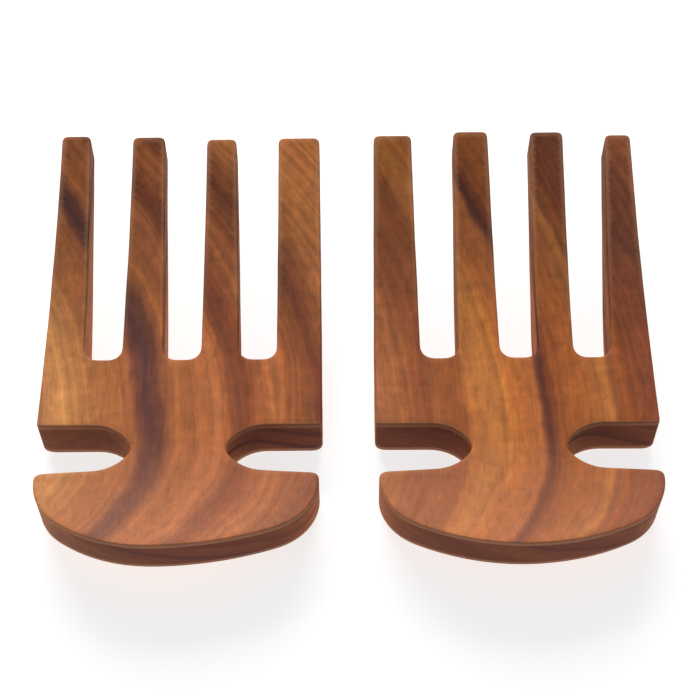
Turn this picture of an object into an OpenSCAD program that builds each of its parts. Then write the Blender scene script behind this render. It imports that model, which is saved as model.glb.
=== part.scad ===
// Pair of wooden salad hands: two four-tined servers, each sawn and carved from one piece
// of acacia. One is held in each hand, a finger through each side notch and the half-moon
// handle in the palm, and the salad is lifted between the two scooped faces.
//
// Row frame: millimetres, +X across the pair, +Y towards the tine tips, +Z up out of the
// scooped faces. The origin is on the table, under the middle of the pair's outline.

/* [Palm] */
// Width of a hand across its palm, at the finger notches
palm_w = 102; // [84:1:124]
// Length of the solid palm, from the finger notches to the slot roots
palm_l = 28; // [22:1:36]
// Thickness of the palm, at the bottom of the scoop
palm_t = 20; // [16:0.5:26]

/* [Tines] */
// Number of tines on a hand
tine_count = 4; // [3, 4, 5]
// Length of the tines, from slot root to tip
tine_l = 94.5; // [75:0.5:112]
// Width across all the tines, at their tips
tips_w = 99.8; // [82:0.2:120]
// Thickness of a tine at its tip
tip_t = 12; // [9:0.5:16]
// Corner radius of a tine tip
tip_corner_r = 1.5; // [1:0.1:3.2]

/* [Slots between the tines] */
// Width of a slot at its root
slot_root_w = 13.5; // [9:0.5:17]
// Width of a slot between the tine tips
slot_tip_w = 16; // [9:0.5:19]
// Corner radius at a slot's root
slot_corner_r = 4.5; // [2:0.25:4.5]

/* [Finger notches] */
// Opening of a finger notch, along the hand
notch_w = 18; // [14:0.5:24]
// Extra opening of a notch at the outer edge of the hand
notch_flare = 1.25; // [0:0.25:4]
// Width of the neck left between the two notches
neck_w = 34; // [24:0.5:42]
// Radius of the two sweeps that narrow a notch towards the neck
notch_sweep_r = 16; // [13:1:26]
// Radius of a notch's inner end
notch_end_r = 4; // [2.5:0.25:6]

/* [Handle] */
// Width of the half-moon handle
handle_w = 100; // [84:1:122]
// Length of the handle, from the notches to its end
handle_l = 33; // [28:0.5:42]
// Radius of the handle's two shoulders
handle_shoulder_r = 23; // [14:1:26]
// Radius of the handle's two corners beside the notches
handle_corner_r = 2.5; // [1:0.25:4]
// Thickness at the handle's end
handle_t = 17.5; // [12:0.5:22]

/* [Scoop] */
// Rise of the face from the palm to the tine tips
tip_rise = 15; // [8:0.5:26]
// Rise of the face from the palm to the handle's end
handle_rise = 8.5; // [5:0.5:18]
// Flat stretch of the face in the palm, measured from the finger notches
palm_flat_l = 11; // [4:1:24]
// Flat stretch of the face over the neck, measured from the finger notches
neck_flat_l = 3; // [0:0.5:10]

/* [Back] */
// Where the back turns up towards the tips, measured from the finger notches
back_tip_bend = 44; // [34:1:60]
// Where the back turns up towards the handle's end, measured from the finger notches
back_handle_bend = 14; // [8:0.5:20]
// Radius of these two bends in the back
back_bend_r = 90; // [40:5:120]
// Radius along the two long edges of the back
back_edge_r = 4.5; // [2:0.5:9]

/* [Pair] */
// Gap between the two hands as they lie side by side
pair_gap = 18.5; // [4:0.5:60]

/* [Hidden] */
arc_turn = 7.5;                            // an arc has a point every so many degrees,
arc_run = 5;                               // and at least one every so many millimetres
cut = 1;                                   // how far a blank runs past the outline
shoulder_share = 0.9;                      // a shoulder takes at most this much of the handle
acacia = "#8a4a28";

// The hands are cut by eye from one pattern, so no two slots or tines are quite the same.
// A slot has [shift at its root, shift at its tip], counted from the -X side.
left_slot_shifts = [[-0.5, -1.6], [-0.4, -1.9], [-1.5, -3.2]];
right_slot_shifts = [[1.9, 1.9], [2.2, 2.6], [0.3, 2.8]];
// A tine ends this far short of the longest one, counted from the -X side
left_tine_shorts = [1, 1.5, 2.5, 2.2];
right_tine_shorts = [1.4, 0, 0.3, 1.6];
// The end of a handle is furthest out this far off the middle of the hand, along X
left_end_shift = -8;
right_end_shift = 0;

// Lines along a hand, measured from the palm's edge at the notches
root_y = palm_l;
tips_y = palm_l + tine_l;
handle_y = -notch_w;
end_y = handle_y - handle_l;
hand_w = max(palm_w, tips_w, handle_w);
hand_h = palm_t + max(tip_rise, handle_rise);

function unit(v) = v / norm(v);
function at(list, i) = i < len(list) ? list[i] : 0 * list[0];
function reversed(points) = [for (i = [len(points) - 1:-1:0]) points[i]];
function mirrored(points) = [for (p = points) [-p[0], p[1]]];

// Two runs of points that share a point, as one run
function joined(a, b) = concat(a, [for (i = [1:len(b) - 1]) b[i]]);

// Points along an arc, from one angle to another
function arc(centre, r, from, to) =
    let (turn = to - from)
    let (steps = ceil(max(abs(turn) / arc_turn, abs(turn) * PI / 180 * r / arc_run)))
    [for (i = [0:steps]) centre + r * [cos(from + turn * i / steps), sin(from + turn * i / steps)]];

// The arc that rounds a corner between the points before and after it
function rounded(before, corner, after, r) =
    let (a = unit(before - corner), b = unit(after - corner))
    let (half = acos(a * b) / 2)
    let (centre = corner + unit(a + b) * r / sin(half))
    let (start = corner + a * r / tan(half) - centre, end = corner + b * r / tan(half) - centre)
    let (from = atan2(start[1], start[0]), to = atan2(end[1], end[0]))
    arc(centre, r, from, from + (to - from + 540) % 360 - 180);

// Radius of an arc that leaves a flat and climbs by rise over run
function climb_r(run, rise) = (run * run + rise * rise) / (2 * rise);

// Half the width of the palm and tines at a line along the hand
function half_w(y) = (palm_w + (tips_w - palm_w) * y / tips_y) / 2;

// Side of slot i, at its root or at the tips: dir is -1 for its -X side, 1 for its +X side
function slot_root(i, dir, shifts) =
    let (pitch = (2 * half_w(root_y) + slot_root_w) / tine_count)
    [(i + 1 - tine_count / 2) * pitch + at(shifts, i)[0] + dir * slot_root_w / 2, root_y];
function slot_tip(i, dir, shifts) =
    let (pitch = (tips_w + slot_tip_w) / tine_count)
    [(i + 1 - tine_count / 2) * pitch + at(shifts, i)[1] + dir * slot_tip_w / 2, tips_y];

// Side of tine i, at its root or at the tips
function tine_root(i, dir, shifts) =
    dir < 0
        ? (i == 0 ? [-half_w(root_y), root_y] : slot_root(i - 1, 1, shifts))
        : (i == tine_count - 1 ? [half_w(root_y), root_y] : slot_root(i, -1, shifts));
function tine_tip(i, dir, shifts) =
    dir < 0
        ? (i == 0 ? [-tips_w / 2, tips_y] : slot_tip(i - 1, 1, shifts))
        : (i == tine_count - 1 ? [tips_w / 2, tips_y] : slot_tip(i, -1, shifts));

// The end of tine i, from its +X side to its -X side, cut short of tips_y
function tine_end(i, shifts, short) =
    let (share = 1 - short / tine_l)
    let (root_a = tine_root(i, 1, shifts), root_b = tine_root(i, -1, shifts))
    let (end_a = root_a + (tine_tip(i, 1, shifts) - root_a) * share)
    let (end_b = root_b + (tine_tip(i, -1, shifts) - root_b) * share)
    concat(rounded(root_a, end_a, end_b, tip_corner_r), rounded(end_a, end_b, root_b, tip_corner_r));

// The root of slot i, from its +X side to its -X side
function slot_bottom(i, shifts) =
    let (a = slot_root(i, 1, shifts), b = slot_root(i, -1, shifts))
    concat(rounded(slot_tip(i, 1, shifts), a, b, slot_corner_r),
           rounded(a, b, slot_tip(i, -1, shifts), slot_corner_r));

// The tines, from the +X side of the hand to its -X side
function tines(shifts, shorts) = [
    for (i = [tine_count - 1:-1:0])
        each concat(tine_end(i, shifts, at(shorts, i)), i > 0 ? slot_bottom(i - 1, shifts) : [])
];

// The finger notch on the +X side, from the palm to the handle: one sweep, the round inner
// end, and the other sweep. turn is how far round a sweep goes before it meets the end.
function finger_notch() =
    let (mid_y = -notch_w / 2, end_x = neck_w / 2 + notch_end_r)
    let (turn = acos((notch_sweep_r + mid_y) / (notch_sweep_r - notch_end_r)))
    let (sweep_x = end_x + (notch_sweep_r - notch_end_r) * sin(turn))
    let (inner = arc([end_x, mid_y], notch_end_r, 90 + turn, 270 - turn))
    let (lower = arc([sweep_x, notch_sweep_r - notch_w], notch_sweep_r, 270 - turn, 270))
    joined(joined(arc([sweep_x, -notch_sweep_r], notch_sweep_r, 90, 90 + turn), inner), lower);

// The +X side of the hand below the tines, from the palm's edge to the handle's end.
// The handle's end is furthest out at end_x, and end_r is the radius that meets the shoulder
// without a kink.
function lower_side(end_x) =
    let (corner = [handle_w / 2, handle_y - notch_flare], notch = finger_notch())
    let (corner_arc = rounded(notch[len(notch) - 1], corner, [corner[0], end_y], handle_corner_r))
    let (side_y = corner_arc[len(corner_arc) - 1][1], drop = side_y - end_y)
    let (r = min(handle_shoulder_r, shoulder_share * drop), shoulder_x = handle_w / 2 - r)
    let (run = shoulder_x - end_x, end_r = (run * run + drop * drop - r * r) / (2 * (drop - r)))
    let (turn = acos(run / (end_r - r)))
    concat(
        [[palm_w / 2, 0]],
        notch,
        joined(corner_arc, joined(arc([shoulder_x, side_y], r, 0, -turn),
                                  arc([end_x, end_y + end_r], end_r, -turn, -90)))
    );

// A hand from the side, drawn with +X along the hand and +Y up: a flat rest under the
// palm and neck, the back bent up towards both ends, and the scooped face above
module side_profile() {
    back_a = [end_y - cut, palm_t + handle_rise - handle_t];
    bend_a = [-back_handle_bend, 0];
    bend_b = [back_tip_bend, 0];
    back_b = [tips_y + cut, palm_t + tip_rise - tip_t];
    tip_run = tips_y + cut - palm_flat_l;
    tip_r = climb_r(tip_run, tip_rise);
    handle_run = -end_y + cut - neck_flat_l;
    handle_r = climb_r(handle_run, handle_rise);
    polygon(concat(
        [back_a],
        rounded(back_a, bend_a, bend_b, back_bend_r),
        rounded(bend_a, bend_b, back_b, back_bend_r),
        [back_b],
        arc([palm_flat_l, palm_t + tip_r], tip_r, asin(tip_run / tip_r) - 90, -90),
        arc([-neck_flat_l, palm_t + handle_r], handle_r, -90, -90 - asin(handle_run / handle_r))
    ));
}

// The board that a hand is sawn from, end on: its two lower edges are rounded over
module board_section() {
    low = [hand_w / 2, 0];
    side = rounded([0, 0], low, [low[0], hand_h], back_edge_r);
    polygon(concat(side, [[low[0], hand_h + cut], [-low[0], hand_h + cut]], reversed(mirrored(side))));
}

module salad_hand(slot_shifts, tine_shorts, end_shift) {
    right_side = lower_side(end_shift);
    left_side = mirrored(lower_side(-end_shift));
    intersection() {
        linear_extrude(height = hand_h + cut)
            polygon(joined(concat(tines(slot_shifts, tine_shorts), left_side), reversed(right_side)));
        // the section runs along the hand, and the profile across it
        translate([0, tips_y + cut, 0])
            rotate([90, 0, 0])
                linear_extrude(height = tips_y - end_y + 2 * cut)
                    board_section();
        translate([-hand_w / 2 - cut, 0, 0])
            rotate([90, 0, 90])
                linear_extrude(height = hand_w + 2 * cut)
                    side_profile();
    }
}

// A hand in its place in the pair: side is -1 on the left and 1 on the right
module in_pair(side) {
    translate([side * (hand_w + pair_gap) / 2, -(tips_y + end_y) / 2, 0])
        children();
}

module left_salad_hand() {
    color(acacia)
        in_pair(-1)
            salad_hand(left_slot_shifts, left_tine_shorts, left_end_shift);
}

module right_salad_hand() {
    color(acacia)
        in_pair(1)
            salad_hand(right_slot_shifts, right_tine_shorts, right_end_shift);
}

left_salad_hand();
right_salad_hand();
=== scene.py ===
import math

import bmesh
import bpy
import numpy as np
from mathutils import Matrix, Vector, geometry


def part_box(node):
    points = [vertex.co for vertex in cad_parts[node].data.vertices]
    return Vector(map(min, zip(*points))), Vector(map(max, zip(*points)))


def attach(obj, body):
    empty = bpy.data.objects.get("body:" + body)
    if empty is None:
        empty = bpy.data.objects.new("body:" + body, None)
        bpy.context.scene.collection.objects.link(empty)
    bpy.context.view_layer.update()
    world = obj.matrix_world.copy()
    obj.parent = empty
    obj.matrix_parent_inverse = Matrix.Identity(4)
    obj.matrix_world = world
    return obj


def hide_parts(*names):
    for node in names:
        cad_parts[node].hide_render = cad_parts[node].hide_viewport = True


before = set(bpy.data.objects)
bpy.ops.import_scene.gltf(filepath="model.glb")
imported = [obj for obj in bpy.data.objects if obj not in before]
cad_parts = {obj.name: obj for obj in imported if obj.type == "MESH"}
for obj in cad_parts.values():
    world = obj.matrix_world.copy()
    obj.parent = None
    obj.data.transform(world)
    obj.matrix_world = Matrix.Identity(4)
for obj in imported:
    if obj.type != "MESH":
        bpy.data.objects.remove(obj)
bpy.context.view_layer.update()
MM = 0.001

# ------------------------------------------------------------------ Left salad hand
# One carved server: palm, four tines, neck and half-moon handle in a single piece of acacia.
# It is band-sawn to its outline from a thick board, its face is scooped and its back bent to
# match, and then every edge is eased and the whole is sanded by hand and oiled.

RIM_STEP = 0.8          # spacing of the points round a rim, mm
RIM_SMOOTHING = 3       # passes that take the sawn corners off the outline
FACE_RIM_R = 0.9        # radius sanded onto the edges of the face, mm
BACK_RIM_R = 0.8        # radius sanded onto the edges of the back, mm
ROUND_STEPS = 4         # strips of faces round a sanded edge
WALL_ROWS = 9           # strips of faces up a sawn side
SKIN_STEP = 1.7         # spacing of the points within the face and the back, mm
READ_IN = 0.3           # how far inside the outline the solid is measured, mm
RAY_LENGTH = 200        # length of the rays that find the solid's face and back, mm
RIPPLE_DEPTH = 0.35     # deepest dip that hand sanding leaves, mm
RIPPLE_LENGTH = 22      # size of such a dip, mm


def face_rim(solid):
    """The outline of a hand from above, anticlockwise: the border of its upward-facing faces, in mm."""
    weld = bmesh.new()
    weld.from_mesh(solid.data)
    bmesh.ops.remove_doubles(weld, verts=weld.verts, dist=0.001 * MM)
    border = [e for e in weld.edges if sum(f.normal.z > 0.5 for f in e.link_faces) == 1]
    after = {}
    for edge in border:
        a, b = edge.verts
        after.setdefault(a, []).append(b)
        after.setdefault(b, []).append(a)
    start = border[0].verts[0]
    walk, last, here = [start], start, after[start][0]
    while here is not start:
        walk.append(here)
        one, other = after[here]
        last, here = here, (other if one is last else one)
    rim = np.array([v.co.xy for v in walk]) / MM
    weld.free()
    x, y = rim.T
    turns_left = np.sum(x * np.roll(y, -1) - np.roll(x, -1) * y) > 0
    return rim if turns_left else rim[::-1]


def evenly(rim):
    """The rim with points at equal steps, and its corners just taken off, as sandpaper does."""
    closed = np.vstack([rim, rim[:1]])
    run = np.concatenate([[0], np.cumsum(np.linalg.norm(np.diff(closed, axis=0), axis=1))])
    at = np.linspace(0, run[-1], round(run[-1] / RIM_STEP), endpoint=False)
    rim = np.stack([np.interp(at, run, closed[:, axis]) for axis in (0, 1)], axis=1)
    for _ in range(RIM_SMOOTHING):
        rim = (np.roll(rim, 1, axis=0) + 2 * rim + np.roll(rim, -1, axis=0)) / 4
    return rim


def skin(rim):
    """Points spread evenly inside a rim, and the triangles that join them and the rim."""
    low, high = rim.min(0), rim.max(0)
    columns = np.arange(low[0], high[0], SKIN_STEP)
    rows = np.arange(low[1], high[1], SKIN_STEP * math.sqrt(3) / 2)
    grid = np.array([(x + SKIN_STEP / 2 * (row % 2), y) for row, y in enumerate(rows) for x in columns])
    a, b = rim, np.roll(rim, -1, axis=0)
    crosses = (a[:, 1] > grid[:, 1:]) != (b[:, 1] > grid[:, 1:])
    rise = np.where(b[:, 1] == a[:, 1], 1, b[:, 1] - a[:, 1])
    left_of = grid[:, :1] < a[:, 0] + (grid[:, 1:] - a[:, 1]) * (b[:, 0] - a[:, 0]) / rise
    inside = (crosses & left_of).sum(1) % 2 == 1
    to_rim = np.linalg.norm(grid[:, None] - rim, axis=2).min(1)
    grid = grid[inside & (to_rim > 0.6 * SKIN_STEP)]
    points = [Vector(p) for p in np.vstack([rim, grid])]
    made = geometry.delaunay_2d_cdt(points, [], [list(range(len(rim)))], 1, 1e-6)
    source = [ids[0] for ids in made[3]]
    return grid, [[source[i] for i in triangle] for triangle in made[2]]


def sawn_blank(name, rim):
    """A flat blank with a hand's outline, whose rows of points run up from the back, round its
    edge, up the sawn side and round the edge of the face. height is 0 on the back and 1 on the
    face, inset is the distance in from the outline, rim is 1 on the sanded edges, and footing
    is where the solid is measured."""
    along = np.roll(rim, -1, axis=0) - np.roll(rim, 1, axis=0)
    along /= np.linalg.norm(along, axis=1)[:, None]
    inward = np.stack([-along[:, 1], along[:, 0]], axis=1)
    bends = [1 - math.cos(math.pi / 2 * k / ROUND_STEPS) for k in range(1, ROUND_STEPS + 1)]
    rows = [(BACK_RIM_R * bend, 0) for bend in reversed(bends)]
    rows += [(0, row / WALL_ROWS) for row in range(WALL_ROWS + 1)]
    rows += [(FACE_RIM_R * bend, 1) for bend in bends]
    count = len(rim)
    places = [rim + inward * inset for inset, _ in rows]
    footings = [rim + inward * max(inset, READ_IN) for inset, _ in rows]
    insets = [np.full(count, inset) for inset, _ in rows]
    heights = [np.full(count, height) for _, height in rows]
    rims = [np.full(count, float(height in (0, 1))) for _, height in rows]
    faces = []
    for low in range(0, (len(rows) - 1) * count, count):
        for i in range(count):
            j = (i + 1) % count
            faces.append((low + i, low + j, low + count + j, low + count + i))
    for edge_row, height in ((0, 0), (len(rows) - 1, 1)):
        grid, triangles = skin(places[edge_row])
        first = sum(len(p) for p in places)
        for triangle in triangles:
            ids = [edge_row * count + i if i < count else first + i - count for i in triangle]
            faces.append(ids if height else ids[::-1])
        places.append(grid)
        footings.append(grid)
        insets.append(np.full(len(grid), max(FACE_RIM_R, BACK_RIM_R)))
        heights.append(np.full(len(grid), float(height)))
        rims.append(np.zeros(len(grid)))
    mesh = bpy.data.meshes.new(name)
    flat = lambda points: np.pad(np.vstack(points) * MM, ((0, 0), (0, 1)))
    mesh.from_pydata(flat(places), [], faces)
    for label, kind, field, values in (
        ("footing", "FLOAT_VECTOR", "vector", flat(footings)),
        ("inset", "FLOAT", "value", np.concatenate(insets) * MM),
        ("height", "FLOAT", "value", np.concatenate(heights)),
        ("rim", "FLOAT", "value", np.concatenate(rims)),
    ):
        mesh.attributes.new(label, kind, "POINT").data.foreach_set(field, values.ravel())
    hand = bpy.data.objects.new(name, mesh)
    bpy.context.scene.collection.objects.link(hand)
    return hand


def add_node(tree, kind, sockets=(), **settings):
    """Adds a node: settings are its own options, and sockets maps inputs to values or links."""
    made = tree.nodes.new(kind)
    for name, value in settings.items():
        setattr(made, name, value)
    for key, value in dict(sockets).items():
        if isinstance(value, bpy.types.NodeSocket):
            tree.links.new(value, made.inputs[key])
        else:
            made.inputs[key].default_value = value
    return made


# The carver's rule: from the flat blank, scoop the face and bend the back to the solid's, ease
# the edges of both, and leave the faint ripple that hand sanding leaves. The ripple only goes
# into the wood, so the hand stays inside its solid.
carving = bpy.data.node_groups.new("carved from the blank", "GeometryNodeTree")
for label, kind in (
    ("Geometry", "Geometry"), ("Solid", "Object"), ("Face Rim Radius", "Float"),
    ("Back Rim Radius", "Float"), ("Ripple Depth", "Float"), ("Ripple Length", "Float"),
    ("Seed", "Float"), ("Wood", "Material"),
):
    carving.interface.new_socket(label, in_out="INPUT", socket_type="NodeSocket" + kind)
carving.interface.new_socket("Geometry", in_out="OUTPUT", socket_type="NodeSocketGeometry")
given = add_node(carving, "NodeGroupInput").outputs
footing = add_node(carving, "GeometryNodeInputNamedAttribute", {"Name": "footing"},
                   data_type="FLOAT_VECTOR")
inset = add_node(carving, "GeometryNodeInputNamedAttribute", {"Name": "inset"}, data_type="FLOAT")
height = add_node(carving, "GeometryNodeInputNamedAttribute", {"Name": "height"}, data_type="FLOAT")
solid = add_node(carving, "GeometryNodeObjectInfo", {"Object": given["Solid"]})
surface = {}
for side, way, radius in (("face", -1, "Face Rim Radius"), ("back", 1, "Back Rim Radius")):
    reach = Vector((0, 0, RAY_LENGTH * MM * way))
    source = add_node(carving, "ShaderNodeVectorMath", {0: footing.outputs[0], 1: -reach / 2})
    ray = add_node(carving, "GeometryNodeRaycast", {
        "Target Geometry": solid.outputs["Geometry"], "Source Position": source.outputs[0],
        "Ray Direction": reach.normalized(), "Ray Length": reach.length})
    hit = add_node(carving, "ShaderNodeSeparateXYZ", {0: ray.outputs["Hit Position"]})
    # a quarter round: the surface drops by r - sqrt(r^2 - (r - inset)^2) near the outline
    near = add_node(carving, "ShaderNodeMath", {0: inset.outputs[0], 1: given[radius]},
                    operation="MINIMUM")
    left = add_node(carving, "ShaderNodeMath", {0: given[radius], 1: near.outputs[0]},
                    operation="SUBTRACT")
    left_2 = add_node(carving, "ShaderNodeMath", {0: left.outputs[0], 1: left.outputs[0]},
                      operation="MULTIPLY")
    r_2 = add_node(carving, "ShaderNodeMath", {0: given[radius], 1: given[radius]}, operation="MULTIPLY")
    rest = add_node(carving, "ShaderNodeMath", {0: r_2.outputs[0], 1: left_2.outputs[0]},
                    operation="SUBTRACT")
    root = add_node(carving, "ShaderNodeMath", {0: rest.outputs[0]}, operation="SQRT")
    drop = add_node(carving, "ShaderNodeMath", {0: given[radius], 1: root.outputs[0]},
                    operation="SUBTRACT")
    surface[side] = add_node(carving, "ShaderNodeMath",
                             {0: drop.outputs[0], 1: float(way), 2: hit.outputs["Z"]}, operation="MULTIPLY_ADD")
place = add_node(carving, "GeometryNodeInputPosition")
plan = add_node(carving, "ShaderNodeSeparateXYZ", {0: place.outputs[0]})
level = add_node(carving, "ShaderNodeMapRange", {
    "Value": height.outputs[0], "To Min": surface["back"].outputs[0], "To Max": surface["face"].outputs[0]})
carved = add_node(carving, "ShaderNodeCombineXYZ",
                  {"X": plan.outputs["X"], "Y": plan.outputs["Y"], "Z": level.outputs[0]})
shaped = add_node(carving, "GeometryNodeSetPosition",
                  {"Geometry": given["Geometry"], "Position": carved.outputs[0]})
pitch = add_node(carving, "ShaderNodeMath", {0: 1.0, 1: given["Ripple Length"]}, operation="DIVIDE")
ripple = add_node(carving, "ShaderNodeTexNoise", {
    "Vector": place.outputs[0], "W": given["Seed"], "Scale": pitch.outputs[0],
    "Detail": 1.0, "Roughness": 0.4}, noise_dimensions="4D")
depth = add_node(carving, "ShaderNodeMath",
                 {0: ripple.outputs[0], 1: given["Ripple Depth"]}, operation="MULTIPLY")
inwards = add_node(carving, "ShaderNodeMath", {0: depth.outputs[0], 1: -1.0}, operation="MULTIPLY")
outwards = add_node(carving, "GeometryNodeInputNormal")
cut_in = add_node(carving, "ShaderNodeVectorMath",
                  {0: outwards.outputs[0], "Scale": inwards.outputs[0]}, operation="SCALE")
sanded = add_node(carving, "GeometryNodeSetPosition",
                  {"Geometry": shaped.outputs[0], "Offset": cut_in.outputs[0]})
smooth = add_node(carving, "GeometryNodeSetShadeSmooth", {"Geometry": sanded.outputs[0]})
whole = add_node(carving, "GeometryNodeRealizeInstances", {"Geometry": smooth.outputs[0]})
dressed = add_node(carving, "GeometryNodeSetMaterial",
                   {"Geometry": whole.outputs[0], "Material": given["Wood"]})
add_node(carving, "NodeGroupOutput", {"Geometry": dressed.outputs[0]})


def salad_hand(node, body, wood, seed):
    """Carves one hand from the outline of its solid, and puts it on its body in that solid's place."""
    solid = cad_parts[node]
    rough = sawn_blank(node + "_blank", evenly(face_rim(solid)))
    carver = rough.modifiers.new("carving", "NODES")
    carver.node_group = carving
    sockets = {s.name: s.identifier for s in carving.interface.items_tree if s.in_out == "INPUT"}
    for label, value in (
        ("Solid", solid), ("Face Rim Radius", FACE_RIM_R * MM), ("Back Rim Radius", BACK_RIM_R * MM),
        ("Ripple Depth", RIPPLE_DEPTH * MM), ("Ripple Length", RIPPLE_LENGTH * MM), ("Seed", seed),
        ("Wood", wood),
    ):
        carver[sockets[label]] = value
    evaluated = rough.evaluated_get(bpy.context.evaluated_depsgraph_get())
    mesh = bpy.data.meshes.new_from_object(evaluated)
    for label in ("footing", "inset", "height"):
        mesh.attributes.remove(mesh.attributes[label])
    bpy.data.objects.remove(rough)
    hand = bpy.data.objects.new("carved_" + node, mesh)
    bpy.context.scene.collection.objects.link(hand)
    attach(hand, body)
    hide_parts(node)
    return hand


def colour(hex_code):
    """An sRGB hex colour as the linear colour that the shaders take."""
    parts = [int(hex_code[i:i + 2], 16) / 255 for i in (1, 3, 5)]
    return [c / 12.92 if c <= 0.04045 else ((c + 0.055) / 1.055) ** 2.4 for c in parts] + [1]


def oiled_acacia(name, centre, stretch, lean, drift, layers):
    """Acacia heartwood, planed, sanded and rubbed with oil. Its growth layers lie at a slant
    through the board, so the scooped face cuts them into long curves. layers lists the colours
    met in crossing them, each with its place in mm from the middle of the palm. lean is how far
    a layer moves along X for each mm of height, and drift the same for each mm of length.
    stretch is how far along the board this hand was cut, in mm, so that no two are marked alike."""
    wood = bpy.data.materials.new(name)
    wood.use_nodes = True
    tree = wood.node_tree
    shader = tree.nodes["Principled BSDF"]
    spot = add_node(tree, "ShaderNodeTexCoord")
    here = add_node(tree, "ShaderNodeMapping", {
        "Vector": spot.outputs["Object"], "Location": -centre / MM, "Scale": (1 / MM,) * 3})
    board = add_node(tree, "ShaderNodeVectorMath", {0: here.outputs[0], 1: (0, stretch, 0)},
                     operation="ADD")

    # The kinds of mark in the wood: size of one in mm along X, Y and Z, and its detail. The
    # fibres and pores are drawn coarser than real ones, which would be too fine to show
    marks = {}
    for mark, size, detail in (
        ("wander", (26, 70, 26), 1.0), ("tremble", (5, 30, 5), 2.0), ("mottle", (5, 12, 5), 3.0),
        ("curl", (9, 4, 9), 2.0), ("fibre", (0.8, 24, 0.8), 3.0), ("pore", (0.7, 5, 0.7), 0.0),
    ):
        at = add_node(tree, "ShaderNodeVectorMath", {0: board.outputs[0], 1: size}, operation="DIVIDE")
        marks[mark] = add_node(tree, "ShaderNodeTexNoise",
                               {"Vector": at.outputs[0], "Scale": 1.0, "Detail": detail,
                                "Distortion": 0.8}).outputs[0]

    # How far across the growth layers a point lies, in mm: they wander by WANDER and TREMBLE
    layer = add_node(tree, "ShaderNodeVectorMath", {0: here.outputs[0], 1: (1, drift, lean)},
                     operation="DOT_PRODUCT").outputs["Value"]
    for mark, reach in (("wander", WANDER), ("tremble", TREMBLE)):
        layer = add_node(tree, "ShaderNodeMath", {0: marks[mark], 1: reach, 2: layer},
                         operation="MULTIPLY_ADD").outputs[0]
    first, last = layers[0][0], layers[-1][0]
    middle = (WANDER + TREMBLE) / 2    # noise is about a half on average
    share = add_node(tree, "ShaderNodeMapRange",
                     {"Value": layer, "From Min": first + middle, "From Max": last + middle})
    ramp = add_node(tree, "ShaderNodeValToRGB", {"Fac": share.outputs[0]})
    stops = ramp.color_ramp.elements
    while len(stops) < len(layers):
        stops.new(0.5)
    for stop, (place, hex_code) in zip(stops, layers):
        stop.position = (place - first) / (last - first)
        stop.color = colour(hex_code)
    marks["line"] = add_node(tree, "ShaderNodeTexNoise", {"W": layer, "Scale": 0.35, "Detail": 2.0},
                             noise_dimensions="1D").outputs[0]

    # Painted shade: the colour darkens towards the tips, where the tines tilt away from the light
    along = add_node(tree, "ShaderNodeSeparateXYZ", {0: here.outputs[0]})
    marks["length"] = along.outputs["Y"]

    # Each mark darkens or lightens the colour: its low and high value, and the tone at each
    tone = 1.0
    for mark, low, high, low_tone, high_tone in (
        ("mottle", 0.3, 0.7, 0.84, 1.2), ("curl", 0.3, 0.7, 0.9, 1.1), ("line", 0.3, 0.7, 0.82, 1.18),
        ("fibre", 0.3, 0.7, 0.94, 1.06), ("pore", PORE_START, PORE_FULL, 1.0, 0.85),
        # the length tone is painted shade, darker towards the tips
        ("length", 25, 75, 1.02, 0.66),
    ):
        own = add_node(tree, "ShaderNodeMapRange", {
            "Value": marks[mark], "From Min": low, "From Max": high,
            "To Min": low_tone, "To Max": high_tone})
        tone = add_node(tree, "ShaderNodeMath", {0: tone, 1: own.outputs[0]},
                        operation="MULTIPLY").outputs[0]
    toned = add_node(tree, "ShaderNodeVectorMath", {0: ramp.outputs[0], "Scale": tone}, operation="SCALE")

    # The handle's colour is evened towards a mid brown, end grain has drunk oil and gone a dull purple
    # brown, and the rounded edges that face back along the hand get a painted highlight, a pale line
    facing = add_node(tree, "ShaderNodeSeparateXYZ", {0: spot.outputs["Normal"]})
    end = add_node(tree, "ShaderNodeMath", {0: facing.outputs["Y"]}, operation="ABSOLUTE")
    flat = add_node(tree, "ShaderNodeMath", {0: facing.outputs["Z"]}, operation="ABSOLUTE")
    rim = add_node(tree, "ShaderNodeAttribute", attribute_name="rim")
    # back picks out the rounded edges that face back along the hand, which carry the painted highlight
    back = add_node(tree, "ShaderNodeMath", {0: rim.outputs["Fac"], 1: facing.outputs["Y"]},
                    operation="MULTIPLY")
    shade = toned.outputs[0]
    for place, low, high, most, stain in (
        (along.outputs["Y"], 5, -25, 0.36, "#a8643e"), (end.outputs[0], 0.35, 0.95, 0.75, "#643c38"),
        # the last row paints a pale highlight on those edges
        (back.outputs[0], -0.03, -0.25, 0.3, "#e0a880"),
    ):
        cover = add_node(tree, "ShaderNodeMapRange", {
            "Value": place, "From Min": low, "From Max": high, "To Min": 0.0, "To Max": most})
        shade = add_node(tree, "ShaderNodeMix", {
            "Factor": cover.outputs[0], "A": shade, "B": colour(stain)},
            data_type="RGBA").outputs["Result"]
    tree.links.new(shade, shader.inputs["Base Color"])

    # Satin oil, a little duller where it has sunk in along the fibres, over a faint raised grain
    gloss = add_node(tree, "ShaderNodeMapRange", {
        "Value": marks["fibre"], "From Min": 0.3, "From Max": 0.7, "To Min": 0.62, "To Max": 0.5})
    tree.links.new(gloss.outputs[0], shader.inputs["Roughness"])
    open_grain = add_node(tree, "ShaderNodeMapRange", {
        "Value": marks["pore"], "From Min": PORE_START, "From Max": PORE_FULL,
        "To Min": 1.0, "To Max": 0.0})
    relief = add_node(tree, "ShaderNodeMath", {0: marks["fibre"], 1: 0.5, 2: open_grain.outputs[0]},
                      operation="MULTIPLY_ADD")
    bump = add_node(tree, "ShaderNodeBump", {
        "Height": relief.outputs[0], "Strength": 0.5, "Distance": 0.12 * MM})
    tree.links.new(bump.outputs[0], shader.inputs["Normal"])
    shader.inputs["IOR"].default_value = 1.5

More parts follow.
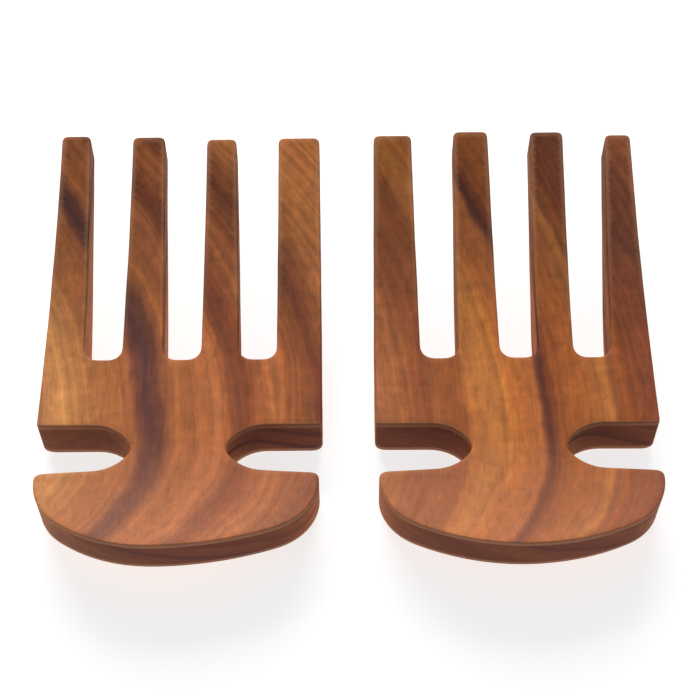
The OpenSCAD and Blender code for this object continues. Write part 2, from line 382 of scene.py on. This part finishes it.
    # The sawn sides are left with less oil on them than the face and the back, so they shine less
    sheen = add_node(tree, "ShaderNodeMapRange", {
        "Value": flat.outputs[0], "From Min": 0.2, "From Max": 0.8, "To Min": 0.03, "To Max": 0.2})
    tree.links.new(sheen.outputs[0], shader.inputs["Specular IOR Level"])
    return wood


PALM_T = 20             # height of the palm, where the layers' places are counted, mm
PALM_FROM_NOTCH = 35.75 # from the palm's edge at the notches to the middle of the pair, mm
WANDER = 9.0            # how far the growth layers wander over a hand's width, mm
TREMBLE = 3.0           # and how far over a few mm, mm
PORE_START = 0.72       # noise, from 0 to 1, from which there is a pore
PORE_FULL = 0.82        # and where it is at its deepest


def palm_centre(node):
    """The point of a hand that its layers are counted from: on the face, mid-palm, at the notches."""
    low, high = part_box(node)
    return Vector(((low.x + high.x) / 2, -PALM_FROM_NOTCH * MM, PALM_T * MM))


left_wood = oiled_acacia("oiled acacia, golden edge", palm_centre("left_salad_hand"), 0, 3.4, 0.1, [
    (-48, "#c8814a"), (-41, "#d68e4c"), (-36, "#c88042"), (-30, "#bc7038"), (-24, "#b86a32"),
    (-17, "#b06430"), (-14, "#80422a"), (-11, "#5c2c26"), (-8, "#723a26"), (-5, "#8e4c28"),
    (-2, "#b8682f"), (3, "#b4642e"), (8, "#be6a33"), (12, "#c4703a"), (16, "#a85a28"),
    (20, "#84401a"), (24, "#924618"), (30, "#b2602c"), (36, "#be6c34"), (41, "#aa5a26"),
    (46, "#9a5222"), (51, "#803c18"), (58, "#aa5e2c"), (66, "#ca783c"), (76, "#e08a46"),
    (90, "#ee904a"), (104, "#e48a44"),
])
left_hand = salad_hand("left_salad_hand", "left_hand", left_wood, 3.0)

# ----------------------------------------------------------------- Right salad hand
# The other server of the pair: the same pattern turned over and cut by eye from another
# stretch of the board, where one narrow dark layer crosses golden wood.

right_wood = oiled_acacia("oiled acacia, dark stripe", palm_centre("right_salad_hand"), 400, 2.3, 0.05, [
    (-48, "#b2683a"), (-41, "#b06430"), (-37, "#a85c2c"), (-32, "#9a4e20"), (-28, "#a65a28"),
    (-23, "#a0541e"), (-19, "#a05420"), (-15, "#c0702e"), (-10, "#ca7a34"), (-6, "#cc782e"),
    (-2, "#c06a28"), (3, "#c06a2a"), (7, "#bc682e"), (9, "#84401c"), (11, "#5e260e"),
    (13, "#7a360e"), (16, "#984c18"), (20, "#ab5a1e"), (24, "#b05e20"), (28, "#b4642a"),
    (32, "#c07230"), (36, "#a05422"), (41, "#944818"), (46, "#904824"), (51, "#8c4424"),
    (57, "#8e4c2c"), (63, "#8a462a"), (69, "#9a5230"), (76, "#b4643a"), (84, "#bc6a3c"),
    (96, "#c8713f"),
])
right_hand = salad_hand("right_salad_hand", "right_hand", right_wood, 8.0)

# ------------------------------------------------------------------ Table and light
# The pair lies on a light table: a sheet of white acrylic that glows evenly from within. A wide
# soft panel behind and above it and a pale room light the faces, and leave the near sides in shade.

TABLE_REACH = 6.0       # from the middle of the table to its edges, m

top = bpy.data.meshes.new("table_top")
corners = [(x * TABLE_REACH, y * TABLE_REACH, 0) for x, y in ((-1, -1), (1, -1), (1, 1), (-1, 1))]
top.from_pydata(corners, [], [(0, 1, 2, 3)])
table = bpy.data.objects.new("table_top", top)
bpy.context.scene.collection.objects.link(table)
lit_acrylic = bpy.data.materials.new("lit white acrylic")
lit_acrylic.use_nodes = True
acrylic = lit_acrylic.node_tree.nodes["Principled BSDF"]
acrylic.inputs["Base Color"].default_value = colour("#b4b4b4")
acrylic.inputs["Roughness"].default_value = 0.6
acrylic.inputs["Emission Color"].default_value = colour("#ffffff")
acrylic.inputs["Emission Strength"].default_value = 0.75
top.materials.append(lit_acrylic)

room = bpy.data.worlds.new("pale room")
room.use_nodes = True
room.node_tree.nodes["Background"].inputs["Color"].default_value = colour("#f4f6f8")
room.node_tree.nodes["Background"].inputs["Strength"].default_value = 0.27
bpy.context.scene.world = room

glow = bpy.data.lights.new("back_panel", "AREA")
glow.shape = "SQUARE"
glow.size = 1.9
glow.energy = 68
panel = bpy.data.objects.new("back_panel", glow)
panel.location = (-0.25, 1.84, 0.98)
panel.rotation_euler = (-panel.location).to_track_quat("-Z", "Y").to_euler()
bpy.context.scene.collection.objects.link(panel)

# --------------------------------------------------------------------------- Camera
# It looks down on the pair from in front, about 57 degrees above the table.

lens = bpy.data.cameras.new("camera")
lens.sensor_width = 36
lens.lens = 85.1
camera = bpy.data.objects.new("camera", lens)
camera.location = Vector((-1.8, -329, 530.7)) * MM
aim = Vector((0.7, -4.4, 20)) * MM
camera.rotation_euler = (aim - camera.location).to_track_quat("-Z", "Y").to_euler()
bpy.context.scene.collection.objects.link(camera)
bpy.context.scene.camera = camera
bpy.context.scene.view_settings.view_transform = "Standard"
